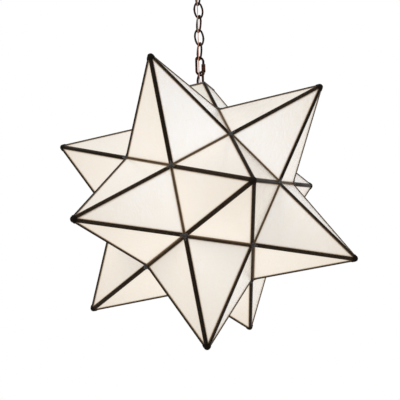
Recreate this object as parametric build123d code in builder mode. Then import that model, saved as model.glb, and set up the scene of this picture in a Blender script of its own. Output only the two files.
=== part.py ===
from build123d import *
from math import acos, asin, atan2, cos, degrees, hypot, pi, radians, sin, sqrt, tan
import os

os.makedirs("parts", exist_ok=True)

# Twelve-point star lantern in millimetres, +Z up. The origin is on the ceiling, in the middle of the canopy.

# Star: a point's ridges run towards a sphere, just past its solder cap, and the valley corners where
# three points meet lie on a smaller one
star_radius = 295.0
valley_radius = 165.0
top_cut_drop = 44.0  # underside of the top plate, below where the top point's ridges would meet

# Came and glass
came_lip = 1.0  # flange over each side of the glass
cut_over = 1.0  # how far a cutting shape runs past what it cuts
glass_thickness = 3.0
glass_clearance = 0.15
ridge_flange = 4.6  # width of a ridge came on each facet
valley_flange = 2.2
door_flange = 3.4  # the wider came on both sides of the door's seam
ridge_cover = 1.2  # how far a flange laps over the edge of its pane
valley_cover = 1.3
pane_corner_clip = 3.4
ridge_rounding = 1.5
door_gap = 0.4
tip_cap_radius = 5.8
tip_cap_inset = 9.5  # middle of the cap, in from where the ridges would meet
joint_radius = 4.5
joint_inset = 1.5
solder_clearance = 0.1

# Top plate, stem and hang loop
plate_thickness = 2.0
stem_radius = 5.0
stem_bore_radius = 3.5
thread_clearance = 0.15
nut_across_flats = 16.0
nut_height = 4.0
nut_easing = 1.09  # radius of the circle a nut's corners are turned to, per half its flats
stem_top_rise = 7.0  # stem end above the top plate
loop_wire_radius = 2.25
loop_half_width = 11.75  # to the middle of the wire
loop_rise = 44.3  # top of the hang loop above the top plate
bushing_flange_radius = 4.6
bushing_flange = 1.2
bushing_depth = 6.0

# Lamp holder and bulb
holder_top_height = 100.0  # top of the holder cap above the star's centre
holder_cap_height = 18.0
holder_radius = 19.0
holder_wall = 1.6
holder_length = 42.0
holder_neck_wall = 3.0
holder_neck_height = 6.0
holder_neck_floor = 1.5
holder_shoulder_inset = 3.2  # middle of the shoulder's curve, in from the side
holder_shoulder_drop = 9.0  # and below the top
holder_rim_height = 4.0
holder_mouth_rounding = 0.6
stem_engagement = 8.0
screw_shell_radius = 14.6
screw_shell_wall = 0.6
screw_shell_length = 22.0
contact_drop = 6.0
contact_thickness = 3.0
bulb_base_radius = 13.1
bulb_base_length = 22.0
bulb_base_chamfer = 3.0
bulb_button_radius = 4.5
bulb_button_height = 2.0
bulb_ball_radius = 30.0
bulb_length = 108.0
bulb_neck_radius = 14.0
bulb_neck_length = 14.0
bulb_neck_flare = 1.5
bulb_shoulder_angle = 25.0  # where the neck's slope meets the ball, above its middle
bulb_belly_angle = -32.0
bulb_glass_wall = 1.0
seat_gap = 0.3  # between curved pieces that bear on each other

# Door hinge and catch
hinge_tube_radius = 2.5
hinge_pin_radius = 1.0
hinge_pin_clearance = 0.08
hinge_door_length = 30.0
hinge_fixed_length = 12.0
hinge_end_gap = 0.4
hinge_pin_overhang = 1.0
magnet_radius = 4.0
magnet_height = 3.0
magnet_inset = 12.0  # middle of the magnet, in from the door's corner
strike_thickness = 1.2
strike_reach = 18.0
bracket_thickness = 1.5
bracket_lap = 2.0  # past the inner edges of the fixed cames
bracket_corner_cut = 6.0
bracket_margin = 1.0

# Chain and quick link
link_wire_radius = 1.95
link_length = 44.3
link_width = 21.0
link_end_radius = 6.0  # of the wire's middle line round each end
link_count = 6
quick_wire_radius = 2.25
quick_length = 49.0
quick_width = 19.5
quick_nut_length = 17.0
quick_nut_flats = 7.6
quick_nut_drop = 2.4  # the closed nut sits this far below the middle of its leg
quick_gap = 6.0
quick_thread_entry = 1.2  # of the closed nut on the lower end of its leg
chain_turn = -10.0  # how far the hanging gear has turned about the vertical, from the mounting bar

# Ceiling fitting
canopy_radius = 63.5
canopy_depth = 28.0
canopy_wall = 1.2
canopy_rounding = 16.0
bar_length = 100.0
bar_width = 20.0
bar_thickness = 2.0
bar_slot_spacing = 70.0
bar_slot_length = 12.0
bar_slot_width = 5.0
fitting_rounding = 1.5
nipple_top_drop = 0.5
collar_radius = 11.0
collar_height = 5.0
canopy_loop_stem_radius = 8.0
canopy_loop_stem_height = 10.0
canopy_loop_ring_radius = 12.75  # to the middle of the wire
canopy_loop_bite = 3.0  # how deep the ring sinks into its stem
canopy_loop_socket_spare = 0.5

# Lamp cord
cord_radius = 1.3
cord_hole_radius = 2.0
cord_side = 4.0  # the cord runs down the chain this far off its middle along X and along Y
cord_sway = 0.3  # how far it wanders from a straight line between its bends
cord_ring_bend = 5.0  # bends: below the hole in the canopy loop
cord_chain_bend = 2.0  # above the first link's top
cord_quick_bend = 3.0  # below the quick link
cord_stem_bend = 8.0  # above the stem
cord_end_rise = 1.0  # the cord's end, above the stem's
cord_bend_share = 0.45  # of the shorter run beside a bend

# Angles of the star: a point's axis, and the directions of the corners round it
ring_latitude = degrees(atan2(1, 2))
corner_angle = degrees(acos(sqrt((5 + 2 * sqrt(5)) / 15)))
corner_height = valley_radius * cos(radians(corner_angle))
corner_reach = valley_radius * sin(radians(corner_angle))
flare = corner_reach / corner_height  # corner distance from the axis, per height, on the seams
slope = corner_reach / (star_radius - corner_height)  # the same on the ridges, per drop from the tip
half_side = radians(36)
facet_tilt = degrees(atan2(corner_reach * cos(half_side), star_radius - corner_height))
seam_tilt = degrees(atan2(corner_reach * cos(half_side), corner_height))
facet_height = hypot(corner_reach * cos(half_side), star_radius - corner_height)
facet_half_base = corner_reach * sin(half_side)
tip_half_angle = degrees(atan2(facet_half_base, facet_height))
came_depth = 2 * came_lip + glass_thickness + 2 * glass_clearance
valley_half_angle = facet_tilt + seam_tilt
top_cut_height = star_radius - top_cut_drop

# Heights along the chain, from the ceiling down
collar_low = -canopy_depth - collar_height
ring_centre_drop = canopy_loop_ring_radius + loop_wire_radius - canopy_loop_bite
ring_centre = collar_low - canopy_loop_stem_height - ring_centre_drop
ring_low = ring_centre - canopy_loop_ring_radius - loop_wire_radius


def hang(low_of_upper, upper_wire, lower_wire):
    """Top of a link that hangs in the one above it."""
    return low_of_upper + 2 * upper_wire + seat_gap + 2 * lower_wire


link_tops = [hang(ring_low, loop_wire_radius, link_wire_radius)]
for _ in range(link_count - 1):
    link_tops.append(hang(link_tops[-1] - link_length, link_wire_radius, link_wire_radius))
quick_top = hang(link_tops[-1] - link_length, link_wire_radius, quick_wire_radius)
loop_top = hang(quick_top - quick_length, quick_wire_radius, loop_wire_radius)
plate_top = loop_top - loop_rise
star_height = plate_top - plate_thickness - top_cut_height
star_centre = Vector(0, 0, star_height)


def save(shape, name):
    """Labels a finished piece and writes its file."""
    shape.label = name
    export_step(shape, f"parts/{name}.step")


def hung(part):
    """A piece of the hanging gear, turned about the vertical as the chain hangs."""
    return Rotation(0, 0, chain_turn) * part


def pyramid(depth, gap=0.0):
    """Tip height, base height and base corner reach of a point's skin, sunk by depth, seams drawn in."""
    tip = star_radius - depth / sin(radians(facet_tilt))
    seam_start = gap / sin(radians(seam_tilt))
    base = (tip * slope + seam_start * flare) / (slope + flare)
    return tip, base, (base - seam_start) * flare


def pentagon(reach):
    """Corner points of a five-sided figure whose first side faces +X."""
    return [(reach * cos(radians(36 + 72 * n)), reach * sin(radians(36 + 72 * n))) for n in range(5)]


def facet_plane(side, depth=0.0):
    """Plane of one facet, with its origin at the middle of the base edge and Y up the facet."""
    turn = radians(72 * side)
    tilt = radians(facet_tilt)
    reach = corner_reach * cos(half_side)
    middle = (reach * cos(turn), reach * sin(turn), corner_height)
    outward = (cos(tilt) * cos(turn), cos(tilt) * sin(turn), sin(tilt))
    along = (-sin(turn), cos(turn), 0)
    return Plane(origin=middle, x_dir=along, z_dir=outward).offset(-depth)


def pane_points(ridge_inset, base_inset, top=None, clip=0.0):
    """Outline of a pane or window on its facet: a triangle, or cut off level at top."""
    tip_angle = radians(tip_half_angle)

    def half_width(height):
        return facet_half_base * (1 - height / facet_height) - ridge_inset / cos(tip_angle)

    tip = facet_height - ridge_inset / sin(tip_angle)
    low = half_width(base_inset)
    right = [(low, base_inset)]
    if clip:
        right = [(low - clip, base_inset), (half_width(base_inset + clip), base_inset + clip)]
    if top is None:
        return right + [(0, tip)] + [(-x, y) for x, y in reversed(right)]
    right.append((half_width(top), top))
    return right + [(-x, y) for x, y in reversed(right)]


def came_core(flanges, cut_height=None, gap=0.0, soldered=True):
    """Whole came of one point, with its windows and glass grooves, before it is cut into strips."""
    _, outer_base, outer_reach = pyramid(0.0, gap)
    inner_tip, inner_base, inner_reach = pyramid(came_depth, gap)
    end = cut_height if cut_height else star_radius - tip_cap_inset
    pane_top = None
    if cut_height:
        pane_top = (cut_height - corner_height) / cos(radians(facet_tilt)) - valley_flange
    with BuildPart() as core:
        with BuildSketch(Plane.XY.offset(inner_base)):
            Polygon(*pentagon(inner_reach), align=None)
        extrude(amount=outer_base - inner_base, taper=-seam_tilt)
        with BuildSketch(Plane.XY.offset(outer_base)):
            Polygon(*pentagon(outer_reach), align=None)
        extrude(amount=end - outer_base, taper=facet_tilt)
        inner_end = min(end + cut_over, inner_tip - cut_over)
        with BuildSketch(Plane.XY.offset(inner_base)):
            Polygon(*pentagon(inner_reach), align=None)
        extrude(amount=inner_end - inner_base, taper=facet_tilt, mode=Mode.SUBTRACT)
        for side, flange in enumerate(flanges):
            with BuildSketch(facet_plane(side, came_depth + cut_over)):
                Polygon(*pane_points(ridge_flange, flange, pane_top), align=None)
            extrude(amount=came_depth + 2 * cut_over, mode=Mode.SUBTRACT)
            groove = pane_points(
                ridge_flange - ridge_cover - glass_clearance,
                flange - valley_cover - glass_clearance,
                pane_top + valley_cover + glass_clearance if pane_top else None,
                pane_corner_clip,
            )
            with BuildSketch(facet_plane(side, came_lip)):
                Polygon(*groove, align=None)
            extrude(amount=-(glass_thickness + 2 * glass_clearance), mode=Mode.SUBTRACT)
        if soldered:
            corner_ring = (valley_radius - joint_inset) * sin(radians(corner_angle))
            corner_level = (valley_radius - joint_inset) * cos(radians(corner_angle))
            with Locations(Plane.XY.offset(corner_level)):
                with PolarLocations(corner_ring, 5, start_angle=36):
                    Sphere(joint_radius + solder_clearance, mode=Mode.SUBTRACT)
        if not cut_height:
            with Locations((0, 0, star_radius - tip_cap_inset)):
                Sphere(tip_cap_radius + solder_clearance, mode=Mode.SUBTRACT)
    return core.part


def sector(turn, low, high):
    """One fifth of the space round a point's axis, between two heights."""
    reach = 2 * corner_reach
    with BuildPart() as fifth:
        with BuildSketch(Plane.XY.offset(low).rotated((0, 0, turn))):
            Polygon((0, 0), (reach, -reach * tan(half_side)), (reach, reach * tan(half_side)), align=None)
        extrude(amount=high - low)
    return fifth.part


def ridge_edge(strip, turn):
    """The outer edge that runs up a ridge came: of its long edges the furthest out."""
    outward = Vector(cos(radians(turn)), sin(radians(turn)), slope)
    straight = strip.edges().filter_by(GeomType.LINE).sort_by(SortBy.LENGTH)
    lengthy = [edge for edge in straight if edge.length > straight[-1].length / 2]
    return max(lengthy, key=lambda edge: edge.center().dot(outward))


def came_strips(flanges, cut_height=None, gap=0.0, soldered=True):
    """The five base cames and five ridge cames of one point, mitred against each other."""
    core = came_core(flanges, cut_height, gap, soldered)
    low = pyramid(came_depth, gap)[1] - cut_over
    mitre = corner_height + max(flanges) * cos(radians(facet_tilt))
    strips = []
    for side in range(5):
        with BuildPart() as base_came:
            add(core)
            add(sector(72 * side, low, mitre), mode=Mode.INTERSECT)
        strips += base_came.solids()
    for side in range(5):
        turn = 36 + 72 * side
        with BuildPart() as ridge_came:
            add(core)
            add(sector(turn, mitre, star_radius + cut_over), mode=Mode.INTERSECT)
            fillet(ridge_edge(ridge_came, turn), radius=ridge_rounding)
        strips += ridge_came.solids()
    return strips


def pane_set(flanges, cut_height=None):
    """The five panes of one point, in the grooves of its came, their tips cut off level below the cap."""
    cap_start = tip_cap_inset * cos(radians(facet_tilt)) + tip_cap_radius + glass_clearance
    pane_top = facet_height - cap_start
    if cut_height:
        pane_top = (cut_height - corner_height) / cos(radians(facet_tilt)) - valley_flange + valley_cover
    panes = []
    for side, flange in enumerate(flanges):
        with BuildPart() as pane:
            outline = pane_points(
                ridge_flange - ridge_cover,
                flange - valley_cover,
                pane_top,
                pane_corner_clip,
            )
            with BuildSketch(facet_plane(side, came_lip + glass_clearance)):
                Polygon(*outline, align=None)
            extrude(amount=-glass_thickness)
        panes += pane.solids()
    return panes


def point_plane(latitude, azimuth):
    """A point's own frame: Z out along its axis, and its first facet towards the nearer pole."""
    up = radians(latitude)
    turn = radians(azimuth)
    axis = Vector(cos(up) * cos(turn), cos(up) * sin(turn), sin(up))
    if abs(latitude) == 90:
        toward = Vector(cos(turn), sin(turn), 0)
    else:
        toward = Vector(0, 0, 1 if latitude > 0 else -1)
        toward = toward - axis * toward.dot(axis)
    return Plane(origin=star_centre, x_dir=toward, z_dir=axis)


def placed(solids, plane):
    """Solids made in a point's own frame, moved to their place in the star."""
    return Compound([solid.moved(plane.location) for solid in solids])


# The points: five upper, five lower, the cut-off top one and the door at the bottom
even_flanges = [valley_flange] * 5
lower_flanges = [door_flange] + [valley_flange] * 4
door_flanges = [door_flange] * 5

upper_strips = came_strips(even_flanges)
lower_strips = came_strips(lower_flanges)
top_strips = came_strips(even_flanges, cut_height=top_cut_height)
door_strips = came_strips(door_flanges, gap=door_gap, soldered=False)
upper_panes = pane_set(even_flanges)
lower_panes = pane_set(lower_flanges)

top_plane = point_plane(90, 0)
door_plane = point_plane(-90, 36)
upper_planes = [point_plane(ring_latitude, 72 * n) for n in range(5)]
lower_planes = [point_plane(-ring_latitude, 36 + 72 * n) for n in range(5)]

for number, plane in enumerate(upper_planes, 1):
    save(placed(upper_strips, plane), f"upper_came_{number}")
    save(placed(upper_panes, plane), f"upper_panes_{number}")
for number, plane in enumerate(lower_planes, 1):
    save(placed(lower_strips, plane), f"lower_came_{number}")
    save(placed(lower_panes, plane), f"lower_panes_{number}")
save(placed(top_strips, top_plane), "top_came")
save(placed(pane_set(even_flanges, top_cut_height), top_plane), "top_panes")
save(placed(door_strips, door_plane), "door_came")
save(placed(pane_set(door_flanges), door_plane), "door_panes")

# Solder caps on the tips of the ten side points, and one on the door's tip
with BuildPart() as tip_caps:
    for plane in upper_planes + lower_planes:
        with Locations(plane.offset(star_radius - tip_cap_inset)):
            Sphere(tip_cap_radius)
save(tip_caps.part, "tip_caps")

with BuildPart() as door_tip_cap:
    with Locations(door_plane.offset(star_radius - tip_cap_inset)):
        Sphere(tip_cap_radius)
save(door_tip_cap.part, "door_tip_cap")

# Solder joints where three points meet: a ring round the top point, two round the waist, and one
# round the door, whose joints are cut back to the seam so that the door can leave
seam_angle = 2 * degrees(asin(sin(half_side) * sin(radians(corner_angle))))  # seen from the star's centre
with BuildPart() as solder_joints:
    for plane in (top_plane, door_plane):
        for ring_angle in (corner_angle, corner_angle + seam_angle):
            level = (valley_radius - joint_inset) * cos(radians(ring_angle))
            reach = (valley_radius - joint_inset) * sin(radians(ring_angle))
            with Locations(plane.offset(level)):
                with PolarLocations(reach, 5, start_angle=36):
                    Sphere(joint_radius)
    with BuildSketch(door_plane.offset(cut_over)):
        Polygon(*pentagon(cut_over * flare), align=None)
    extrude(amount=valley_radius, taper=-seam_tilt, mode=Mode.SUBTRACT)
save(solder_joints.part, "solder_joints")

# Top plate and the hang loop standing on it
with BuildPart() as top_plate:
    with BuildSketch(Plane.XY.offset(plate_top - plate_thickness)):
        Polygon(*pentagon(top_cut_drop * slope), align=None)
        Circle(stem_radius + thread_clearance, mode=Mode.SUBTRACT)
    extrude(amount=plate_thickness)
save(top_plate.part, "top_plate")

loop_arch = loop_top - loop_wire_radius - loop_half_width
with BuildPart() as hang_loop:
    with BuildLine(Plane.YZ) as loop_path:
        Line((-loop_half_width, plate_top), (-loop_half_width, loop_arch))
        ThreePointArc(
            (-loop_half_width, loop_arch), (0, loop_arch + loop_half_width), (loop_half_width, loop_arch)
        )
        Line((loop_half_width, loop_arch), (loop_half_width, plate_top))
    with BuildSketch(Plane(origin=(0, -loop_half_width, plate_top), z_dir=(0, 0, 1))):
        Circle(loop_wire_radius)
    sweep()
save(hung(hang_loop.part), "hang_loop")

# Lamp stem with its nuts and bushing
stem_top = plate_top + stem_top_rise
stem_low = star_height + holder_top_height - stem_engagement
with BuildPart() as lamp_stem:
    with BuildSketch(Plane.XY.offset(stem_low)):
        Circle(stem_radius)
        Circle(stem_bore_radius, mode=Mode.SUBTRACT)
    extrude(amount=stem_top - stem_low)
save(lamp_stem.part, "lamp_stem")


def hex_nut(low, height, flats, bore):
    """A six-sided nut with its corners eased, round the Z axis."""
    with BuildPart() as nut:
        with BuildSketch(Plane.XY.offset(low)):
            RegularPolygon(flats / 2, 6, major_radius=False)
            Circle(bore, mode=Mode.SUBTRACT)
        extrude(amount=height)
        with BuildSketch(Plane.XY.offset(low)):
            Circle(flats / 2 * nut_easing)
        extrude(amount=height, mode=Mode.INTERSECT)
    return nut.part


save(hex_nut(plate_top, nut_height, nut_across_flats, stem_radius + thread_clearance), "stem_nut_upper")
lower_nut_low = plate_top - plate_thickness - nut_height
save(hex_nut(lower_nut_low, nut_height, nut_across_flats, stem_radius + thread_clearance), "stem_nut_lower")

with BuildPart() as cord_bushing:
    with BuildSketch(Plane.XY.offset(stem_top)):
        Circle(bushing_flange_radius)
    extrude(amount=bushing_flange)
    with BuildSketch(Plane.XY.offset(stem_top)):
        Circle(stem_bore_radius - thread_clearance)
    extrude(amount=-bushing_depth)
    with BuildSketch(Plane.XY.offset(stem_top - bushing_depth)):
        Circle(cord_hole_radius)
    extrude(amount=bushing_depth + bushing_flange, mode=Mode.SUBTRACT)
save(cord_bushing.part, "cord_bushing")

# Lamp holder
holder_top = star_height + holder_top_height
cap_low = holder_top - holder_cap_height
cap_bore = stem_radius + thread_clearance
cap_neck = stem_radius + holder_neck_wall
cap_neck_low = holder_top - holder_neck_height
cap_rim_top = cap_low + holder_rim_height
with BuildPart() as holder_cap:
    with BuildSketch(Plane.XZ):
        with BuildLine():
            Polyline(
                (cap_bore, stem_low),
                (cap_bore, holder_top),
                (cap_neck, holder_top),
                (cap_neck, cap_neck_low),
            )
            ThreePointArc(
                (cap_neck, cap_neck_low),
                (holder_radius - holder_shoulder_inset, holder_top - holder_shoulder_drop),
                (holder_radius, cap_rim_top),
            )
            Polyline(
                (holder_radius, cap_rim_top),
                (holder_radius, cap_low),
                (holder_radius - holder_wall, cap_low),
                (holder_radius - holder_wall, cap_rim_top + holder_wall / 2),
                (cap_neck, stem_low - holder_neck_floor),
                (cap_bore, stem_low),
            )
        make_face()
    revolve(axis=Axis.Z)
save(holder_cap.part, "holder_cap")

with BuildPart() as holder_shell:
    with BuildSketch(Plane.XY.offset(cap_low)):
        Circle(holder_radius)
        Circle(holder_radius - holder_wall, mode=Mode.SUBTRACT)
    extrude(amount=-holder_length)
    rim = holder_shell.edges().filter_by(GeomType.CIRCLE).sort_by(Axis.Z)[:1]
    fillet(rim, radius=holder_mouth_rounding)
save(holder_shell.part, "holder_shell")

contact_top = cap_low - contact_drop
with BuildPart() as contact_disc:
    with BuildSketch(Plane.XY.offset(contact_top)):
        Circle(holder_radius - holder_wall - seat_gap)
    extrude(amount=-contact_thickness)
save(contact_disc.part, "contact_disc")

shell_top = contact_top - contact_thickness
with BuildPart() as screw_shell:
    with BuildSketch(Plane.XY.offset(shell_top)):
        Circle(screw_shell_radius)
        Circle(screw_shell_radius - screw_shell_wall, mode=Mode.SUBTRACT)
    extrude(amount=-screw_shell_length)
save(screw_shell.part, "screw_shell")

# Bulb
bulb_top = shell_top - seat_gap
base_top = bulb_top - bulb_button_height
base_low = base_top - bulb_base_length
with BuildPart() as bulb_base:
    with BuildSketch(Plane.XY.offset(base_low)):
        Circle(bulb_base_radius)
    extrude(amount=bulb_base_length)
    top_edge = bulb_base.edges().filter_by(GeomType.CIRCLE).sort_by(Axis.Z)[-1:]
    chamfer(top_edge, length=bulb_base_chamfer)
    with BuildSketch(Plane.XY.offset(base_top)):
        Circle(bulb_button_radius)
    extrude(amount=bulb_button_height)
save(bulb_base.part, "bulb_base")

ball_centre = bulb_top - bulb_length + bulb_ball_radius
neck_low = base_low - bulb_neck_length


def bulb_outline(wall):
    """Half profile of the bulb's glass, drawn in by wall and open at the base."""
    ball = bulb_ball_radius - wall
    high = radians(bulb_shoulder_angle)
    low = radians(bulb_belly_angle)
    shoulder = (ball * cos(high), ball_centre + ball * sin(high))
    belly = (ball * cos(low), ball_centre + ball * sin(low))
    Polyline(
        (0, base_low),
        (bulb_neck_radius - wall, base_low),
        (bulb_neck_radius + bulb_neck_flare - wall, neck_low),
        shoulder,
    )
    ThreePointArc(shoulder, belly, (0, ball_centre - ball))
    Line((0, ball_centre - ball), (0, base_low))


with BuildPart() as bulb_glass:
    with BuildSketch(Plane.XZ):
        with BuildLine():
            bulb_outline(0)
        make_face()
    revolve(axis=Axis.Z)
    with BuildSketch(Plane.XZ):
        with BuildLine():
            bulb_outline(bulb_glass_wall)
        make_face()
    revolve(axis=Axis.Z, mode=Mode.SUBTRACT)
save(bulb_glass.part, "bulb_glass")

# Door hinge: tubes along the base edge of the door's first facet, in the door's own frame
edge_reach = corner_reach * cos(half_side)
edge_distance = hypot(edge_reach, corner_height)
tube_stand_off = (hinge_tube_radius + seat_gap) / sin(radians(valley_half_angle))
axis_scale = 1 + tube_stand_off / edge_distance
hinge_axis_point = Vector(edge_reach * axis_scale, 0, corner_height * axis_scale)


def hinge_piece(start, length, outer, bore=None):
    """A round piece along the hinge axis, from start, in the door's own frame."""
    section = Plane(origin=hinge_axis_point + Vector(0, start, 0), z_dir=(0, 1, 0))
    with BuildPart() as piece:
        with BuildSketch(section):
            Circle(outer)
            if bore:
                Circle(bore, mode=Mode.SUBTRACT)
        extrude(amount=length)
    return piece.part.solid()


pin_hole_radius = hinge_pin_radius + hinge_pin_clearance
door_half = hinge_door_length / 2
fixed_start = door_half + hinge_end_gap
door_tube = hinge_piece(-door_half, hinge_door_length, hinge_tube_radius, pin_hole_radius)
fixed_tubes = [
    hinge_piece(fixed_start, hinge_fixed_length, hinge_tube_radius, pin_hole_radius),
    hinge_piece(-fixed_start - hinge_fixed_length, hinge_fixed_length, hinge_tube_radius, pin_hole_radius),
]
pin_half = fixed_start + hinge_fixed_length + hinge_pin_overhang
hinge_pin = hinge_piece(-pin_half, 2 * pin_half, hinge_pin_radius)
save(placed([door_tube], door_plane), "hinge_tube_door")
save(placed(fixed_tubes, door_plane), "hinge_tubes_fixed")
save(placed([hinge_pin], door_plane), "hinge_pin")

# Magnet catch at the door's corner opposite the hinge: bracket under the fixed cames, magnet on it,
# strike plate inside the door
_, fixed_inner_base, fixed_inner_reach = pyramid(came_depth)
door_inner_tip, _, door_inner_reach = pyramid(came_depth, door_gap)
magnet_x = magnet_inset - door_inner_reach
bracket_top = fixed_inner_base - seat_gap
with BuildPart() as magnet_bracket:
    with BuildSketch(Plane.XY.offset(bracket_top)):
        Polygon(*pentagon(fixed_inner_reach + bracket_lap), align=None)
        with Locations((bracket_corner_cut - fixed_inner_reach - bracket_lap, 0)):
            Rectangle(
                magnet_inset + magnet_radius + bracket_margin + bracket_lap - bracket_corner_cut,
                2 * corner_reach,
                align=(Align.MIN, Align.CENTER),
                mode=Mode.INTERSECT,
            )
    extrude(amount=-bracket_thickness)
save(placed(magnet_bracket.solids(), door_plane), "magnet_bracket")

with BuildPart() as door_magnet:
    with BuildSketch(Plane.XY.offset(bracket_top)):
        with Locations((magnet_x, 0)):
            Circle(magnet_radius)
    extrude(amount=magnet_height)
save(placed(door_magnet.solids(), door_plane), "door_magnet")

strike_low = bracket_top + magnet_height + seat_gap
strike_inset = seat_gap / (cos(half_side) * cos(radians(facet_tilt)))
strike_corner = (door_inner_tip - strike_low - strike_thickness) * slope - strike_inset
with BuildPart() as strike_plate:
    with BuildSketch(Plane.XY.offset(strike_low)):
        Polygon(*pentagon(strike_corner), align=None)
        with Locations((-strike_corner, 0)):
            Rectangle(strike_reach, 2 * corner_reach, align=(Align.MIN, Align.CENTER), mode=Mode.INTERSECT)
    extrude(amount=strike_thickness)
save(placed(strike_plate.solids(), door_plane), "strike_plate")


# Chain
def link_plane(number):
    """Links are made in turn in the XZ plane and the YZ plane, starting with XZ."""
    return Plane.XZ if number % 2 == 0 else Plane.YZ


def oval_half(half_length, half_width, end_radius):
    """Where the side arcs of an oval meet its end arcs."""
    end_centre = half_length - end_radius
    side_radius = (end_centre**2 + half_width**2 - end_radius**2) / (2 * (half_width - end_radius))
    turn = atan2(end_centre, side_radius - half_width)
    return end_radius * cos(turn), end_centre + end_radius * sin(turn)


half_length = link_length / 2 - link_wire_radius
half_width = link_width / 2 - link_wire_radius
meet_x, meet_z = oval_half(half_length, half_width, link_end_radius)
for number, top in enumerate(link_tops):
    middle = top - link_length / 2
    with BuildPart() as chain_link:
        with BuildLine(link_plane(number)) as link_path:
            ThreePointArc((meet_x, middle - meet_z), (half_width, middle), (meet_x, middle + meet_z))
            ThreePointArc((meet_x, middle + meet_z), (0, middle + half_length), (-meet_x, middle + meet_z))
            ThreePointArc((-meet_x, middle + meet_z), (-half_width, middle), (-meet_x, middle - meet_z))
            ThreePointArc((-meet_x, middle - meet_z), (0, middle - half_length), (meet_x, middle - meet_z))
        path = link_path.wire()
        start = path @ 0
        heading = path % 0
        with BuildSketch(Plane(origin=start, z_dir=heading)):
            Circle(link_wire_radius)
        sweep(path=path)
    save(hung(chain_link.part), f"chain_link_{number + 1}")

# Quick link: an open oval whose gap the sleeve nut closes
quick_middle = quick_top - quick_length / 2
quick_half_length = quick_length / 2 - quick_wire_radius
quick_half_width = quick_width / 2 - quick_wire_radius
quick_straight = quick_half_length - quick_half_width
nut_low = quick_middle - quick_nut_drop - quick_nut_length / 2
gap_low = nut_low + quick_thread_entry
with BuildPart() as quick_link:
    with BuildLine(Plane.XZ) as quick_path:
        Line((quick_half_width, gap_low + quick_gap), (quick_half_width, quick_middle + quick_straight))
        ThreePointArc(
            (quick_half_width, quick_middle + quick_straight),
            (0, quick_middle + quick_half_length),
            (-quick_half_width, quick_middle + quick_straight),
        )
        Line(
            (-quick_half_width, quick_middle + quick_straight),
            (-quick_half_width, quick_middle - quick_straight),
        )
        ThreePointArc(
            (-quick_half_width, quick_middle - quick_straight),
            (0, quick_middle - quick_half_length),
            (quick_half_width, quick_middle - quick_straight),
        )
        Line((quick_half_width, quick_middle - quick_straight), (quick_half_width, gap_low))
    with BuildSketch(Plane(origin=(quick_half_width, 0, gap_low + quick_gap), z_dir=(0, 0, 1))):
        Circle(quick_wire_radius)
    sweep(path=quick_path.wire())
save(hung(quick_link.part), "quick_link")

with BuildPart() as quick_link_nut:
    with BuildSketch(Plane(origin=(quick_half_width, 0, nut_low), z_dir=(0, 0, 1))):
        RegularPolygon(quick_nut_flats / 2, 6, major_radius=False)
        Circle(quick_wire_radius + thread_clearance, mode=Mode.SUBTRACT)
    extrude(amount=quick_nut_length)
    with BuildSketch(Plane(origin=(quick_half_width, 0, nut_low), z_dir=(0, 0, 1))):
        Circle(quick_nut_flats / 2 * nut_easing)
    extrude(amount=quick_nut_length, mode=Mode.INTERSECT)
save(hung(quick_link_nut.part), "quick_link_nut")

# Ceiling fitting
with BuildPart() as mounting_bar:
    with BuildSketch():
        SlotOverall(bar_length, bar_width)
        Circle(stem_radius + thread_clearance, mode=Mode.SUBTRACT)
        with GridLocations(bar_slot_spacing, 0, 2, 1):
            SlotOverall(bar_slot_length, bar_slot_width, mode=Mode.SUBTRACT)
    extrude(amount=-bar_thickness)
save(mounting_bar.part, "mounting_bar")

nipple_low = collar_low - stem_engagement
with BuildPart() as ceiling_nipple:
    with BuildSketch(Plane.XY.offset(nipple_low)):
        Circle(stem_radius)
        Circle(stem_bore_radius, mode=Mode.SUBTRACT)
    extrude(amount=-nipple_top_drop - nipple_low)
save(ceiling_nipple.part, "ceiling_nipple")
bar_nut_low = -bar_thickness - nut_height
save(hex_nut(bar_nut_low, nut_height, nut_across_flats, stem_radius + thread_clearance), "bar_nut")

with BuildPart() as canopy:
    with BuildSketch(Plane.XZ):
        with BuildLine():
            Line((canopy_radius, 0), (canopy_radius, -canopy_depth + canopy_rounding))
            RadiusArc(
                (canopy_radius, -canopy_depth + canopy_rounding),
                (canopy_radius - canopy_rounding, -canopy_depth),
                canopy_rounding,
            )
            Polyline(
                (canopy_radius - canopy_rounding, -canopy_depth),
                (stem_radius + thread_clearance, -canopy_depth),
                (stem_radius + thread_clearance, canopy_wall - canopy_depth),
                (canopy_radius - canopy_rounding, canopy_wall - canopy_depth),
            )
            RadiusArc(
                (canopy_radius - canopy_rounding, canopy_wall - canopy_depth),
                (canopy_radius - canopy_wall, -canopy_depth + canopy_rounding),
                -(canopy_rounding - canopy_wall),
            )
            Polyline(
                (canopy_radius - canopy_wall, -canopy_depth + canopy_rounding),
                (canopy_radius - canopy_wall, 0),
                (canopy_radius, 0),
            )
        make_face()
    revolve(axis=Axis.Z)
save(canopy.part, "canopy")

with BuildPart() as canopy_collar:
    with BuildSketch(Plane.XY.offset(collar_low)):
        Circle(collar_radius)
        Circle(stem_radius + thread_clearance, mode=Mode.SUBTRACT)
    extrude(amount=collar_height)
    low_edges = canopy_collar.edges().filter_by(GeomType.CIRCLE).sort_by(Axis.Z)[:2]
    outer_low = low_edges.sort_by(SortBy.RADIUS)[-1:]
    fillet(outer_low, radius=fitting_rounding)
save(canopy_collar.part, "canopy_collar")

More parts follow.
